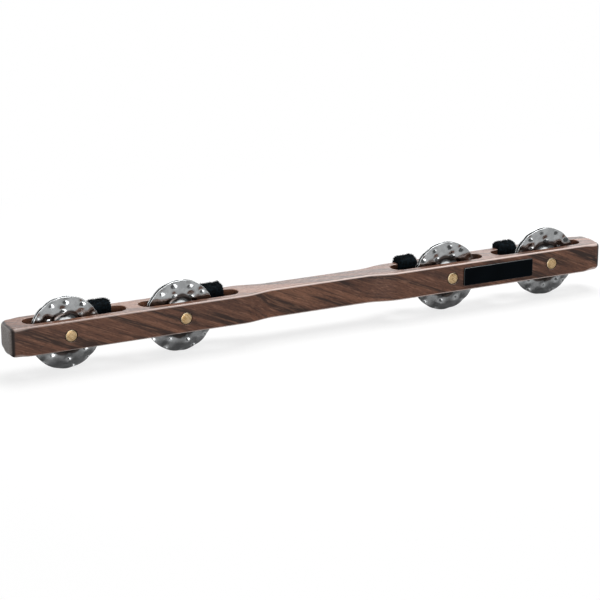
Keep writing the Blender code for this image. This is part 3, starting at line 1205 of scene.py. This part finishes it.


# White table top: matt paint. The eye sees it as white with a faint shadow, which fades out away from the
# stick, and metal mirrors it as grey in the stick's shade and, out of it, paler with a painted white glow.
shadow_end = 0.12
plain_white_start = 0.40
white_in_shadow = 0.76
shade_start = 0.04
shade_end = 0.14
white_in_metal = 0.52
white, tree, shader, where = new_material("white table top")
ray, seen = rays_seen(tree)
paint = add_node(
    tree,
    "ShaderNodeMix",
    {"Factor": seen, "A": colour("#ABABAB"), "B": colour("#F4F4F4")},
    data_type="RGBA",
)
feed(shader, {"Base Color": paint, "Roughness": 0.9, "Specular IOR Level": 0.0})
on_table = add_node(tree, "ShaderNodeSeparateXYZ", {"Vector": where.outputs["Object"]})
from_stick = add_node(tree, "ShaderNodeMath", {0: on_table.outputs["Y"]}, operation="ABSOLUTE")
fade = add_node(
    tree,
    "ShaderNodeMapRange",
    {"Value": from_stick, "From Min": shadow_end, "From Max": plain_white_start, "To Min": white_in_shadow},
    interpolation_type="SMOOTHSTEP",
)
seen_white = add_node(tree, "ShaderNodeMath", {0: seen, 1: fade}, operation="MULTIPLY")
# Painted light in metal: the table glows white for mirrored rays, rising away from the stick.
out_of_shade = add_node(
    tree,
    "ShaderNodeMapRange",
    {"Value": from_stick, "From Min": shade_start, "From Max": shade_end, "To Max": white_in_metal},
    interpolation_type="SMOOTHSTEP",
)
mirrored_white = add_node(
    tree, "ShaderNodeMath", {0: ray.outputs["Is Glossy Ray"], 1: out_of_shade}, operation="MULTIPLY"
)
whitened = add_node(tree, "ShaderNodeMath", {0: seen_white, 1: mirrored_white}, operation="MAXIMUM")
glow = add_node(tree, "ShaderNodeEmission", {"Color": (1.0, 1.0, 1.0, 1.0), "Strength": 1.0})
shown = add_node(tree, "ShaderNodeMixShader", {0: whitened, 1: shader, 2: glow})
feed(tree.nodes["Material Output"], {"Surface": shown})
floor_mesh.materials.append(white)

# The room: plain white to the eye, an even fill for the light, and in metal white behind and above.
world = bpy.data.worlds.new("white studio")
world.use_nodes = True
bpy.context.scene.world = world
tree = world.node_tree
fill_strength = 0.35
dark_front_strength = 0.12
dark_front_end = -0.35
back_strength = 1.4
back_start = 0.15
ceiling_strength = 2.0
ceiling_edge = 0.66
ceiling_start = 0.74
ray, seen = rays_seen(tree)
heading = add_node(tree, "ShaderNodeTexCoord")
towards = add_node(tree, "ShaderNodeSeparateXYZ", {"Vector": heading.outputs["Generated"]})
back = add_node(
    tree,
    "ShaderNodeMapRange",
    {
        "Value": towards.outputs["Y"],
        "From Min": dark_front_end,
        "From Max": back_start,
        "To Min": dark_front_strength,
        "To Max": back_strength,
    },
    interpolation_type="SMOOTHSTEP",
)
ceiling = add_node(
    tree,
    "ShaderNodeMapRange",
    {
        "Value": towards.outputs["Z"],
        "From Min": ceiling_edge,
        "From Max": ceiling_start,
        "To Max": ceiling_strength,
    },
    interpolation_type="SMOOTHSTEP",
)
room = add_node(tree, "ShaderNodeMath", {0: back, 1: ceiling}, operation="MAXIMUM")
fill_or_room = add_node(
    tree,
    "ShaderNodeMix",
    {"Factor": ray.outputs["Is Glossy Ray"], "A": fill_strength, "B": room},
    data_type="FLOAT",
)
strength = add_node(
    tree, "ShaderNodeMix", {"Factor": seen, "A": fill_or_room, "B": 1.0}, data_type="FLOAT"
)
feed(tree.nodes["Background"], {"Color": (1.0, 1.0, 1.0, 1.0), "Strength": strength})

softboxes = (
    ("overhead softbox", 1.1, 0.6, 17.5, Vector((0.28, 0.27, 1.2))),
    ("front softbox", 1.0, 0.40, 7.4, Vector((-0.27, -1.44, 0.23))),
    ("back softbox", 0.9, 0.3, 1.45, Vector((0.52, 0.69, 0.25))),
)
for name, width, height, watts, stand in softboxes:
    softbox = bpy.data.lights.new(name, "AREA")
    softbox.shape = "RECTANGLE"
    softbox.size = width
    softbox.size_y = height
    softbox.energy = watts
    lamp = add_piece(name, softbox)
    lamp.location = stand
    lamp.rotation_euler = (-stand).to_track_quat("-Z", "Y").to_euler()

camera_target = Vector((-0.01172, 0.0, -0.0032))
camera_azimuth = math.radians(-25.79)
camera_elevation = math.radians(18.1)
camera_distance = 1.531
backwards = Vector((
    math.sin(camera_azimuth) * math.cos(camera_elevation),
    -math.cos(camera_azimuth) * math.cos(camera_elevation),
    math.sin(camera_elevation),
))
lens = bpy.data.cameras.new("camera")
lens.sensor_width = 36.0
lens.lens = 135.84
camera = add_piece("camera", lens)
camera.location = camera_target + backwards * camera_distance
camera.rotation_euler = (-backwards).to_track_quat("-Z", "Y").to_euler()
bpy.context.scene.camera = camera
bpy.context.scene.view_settings.view_transform = "Standard"
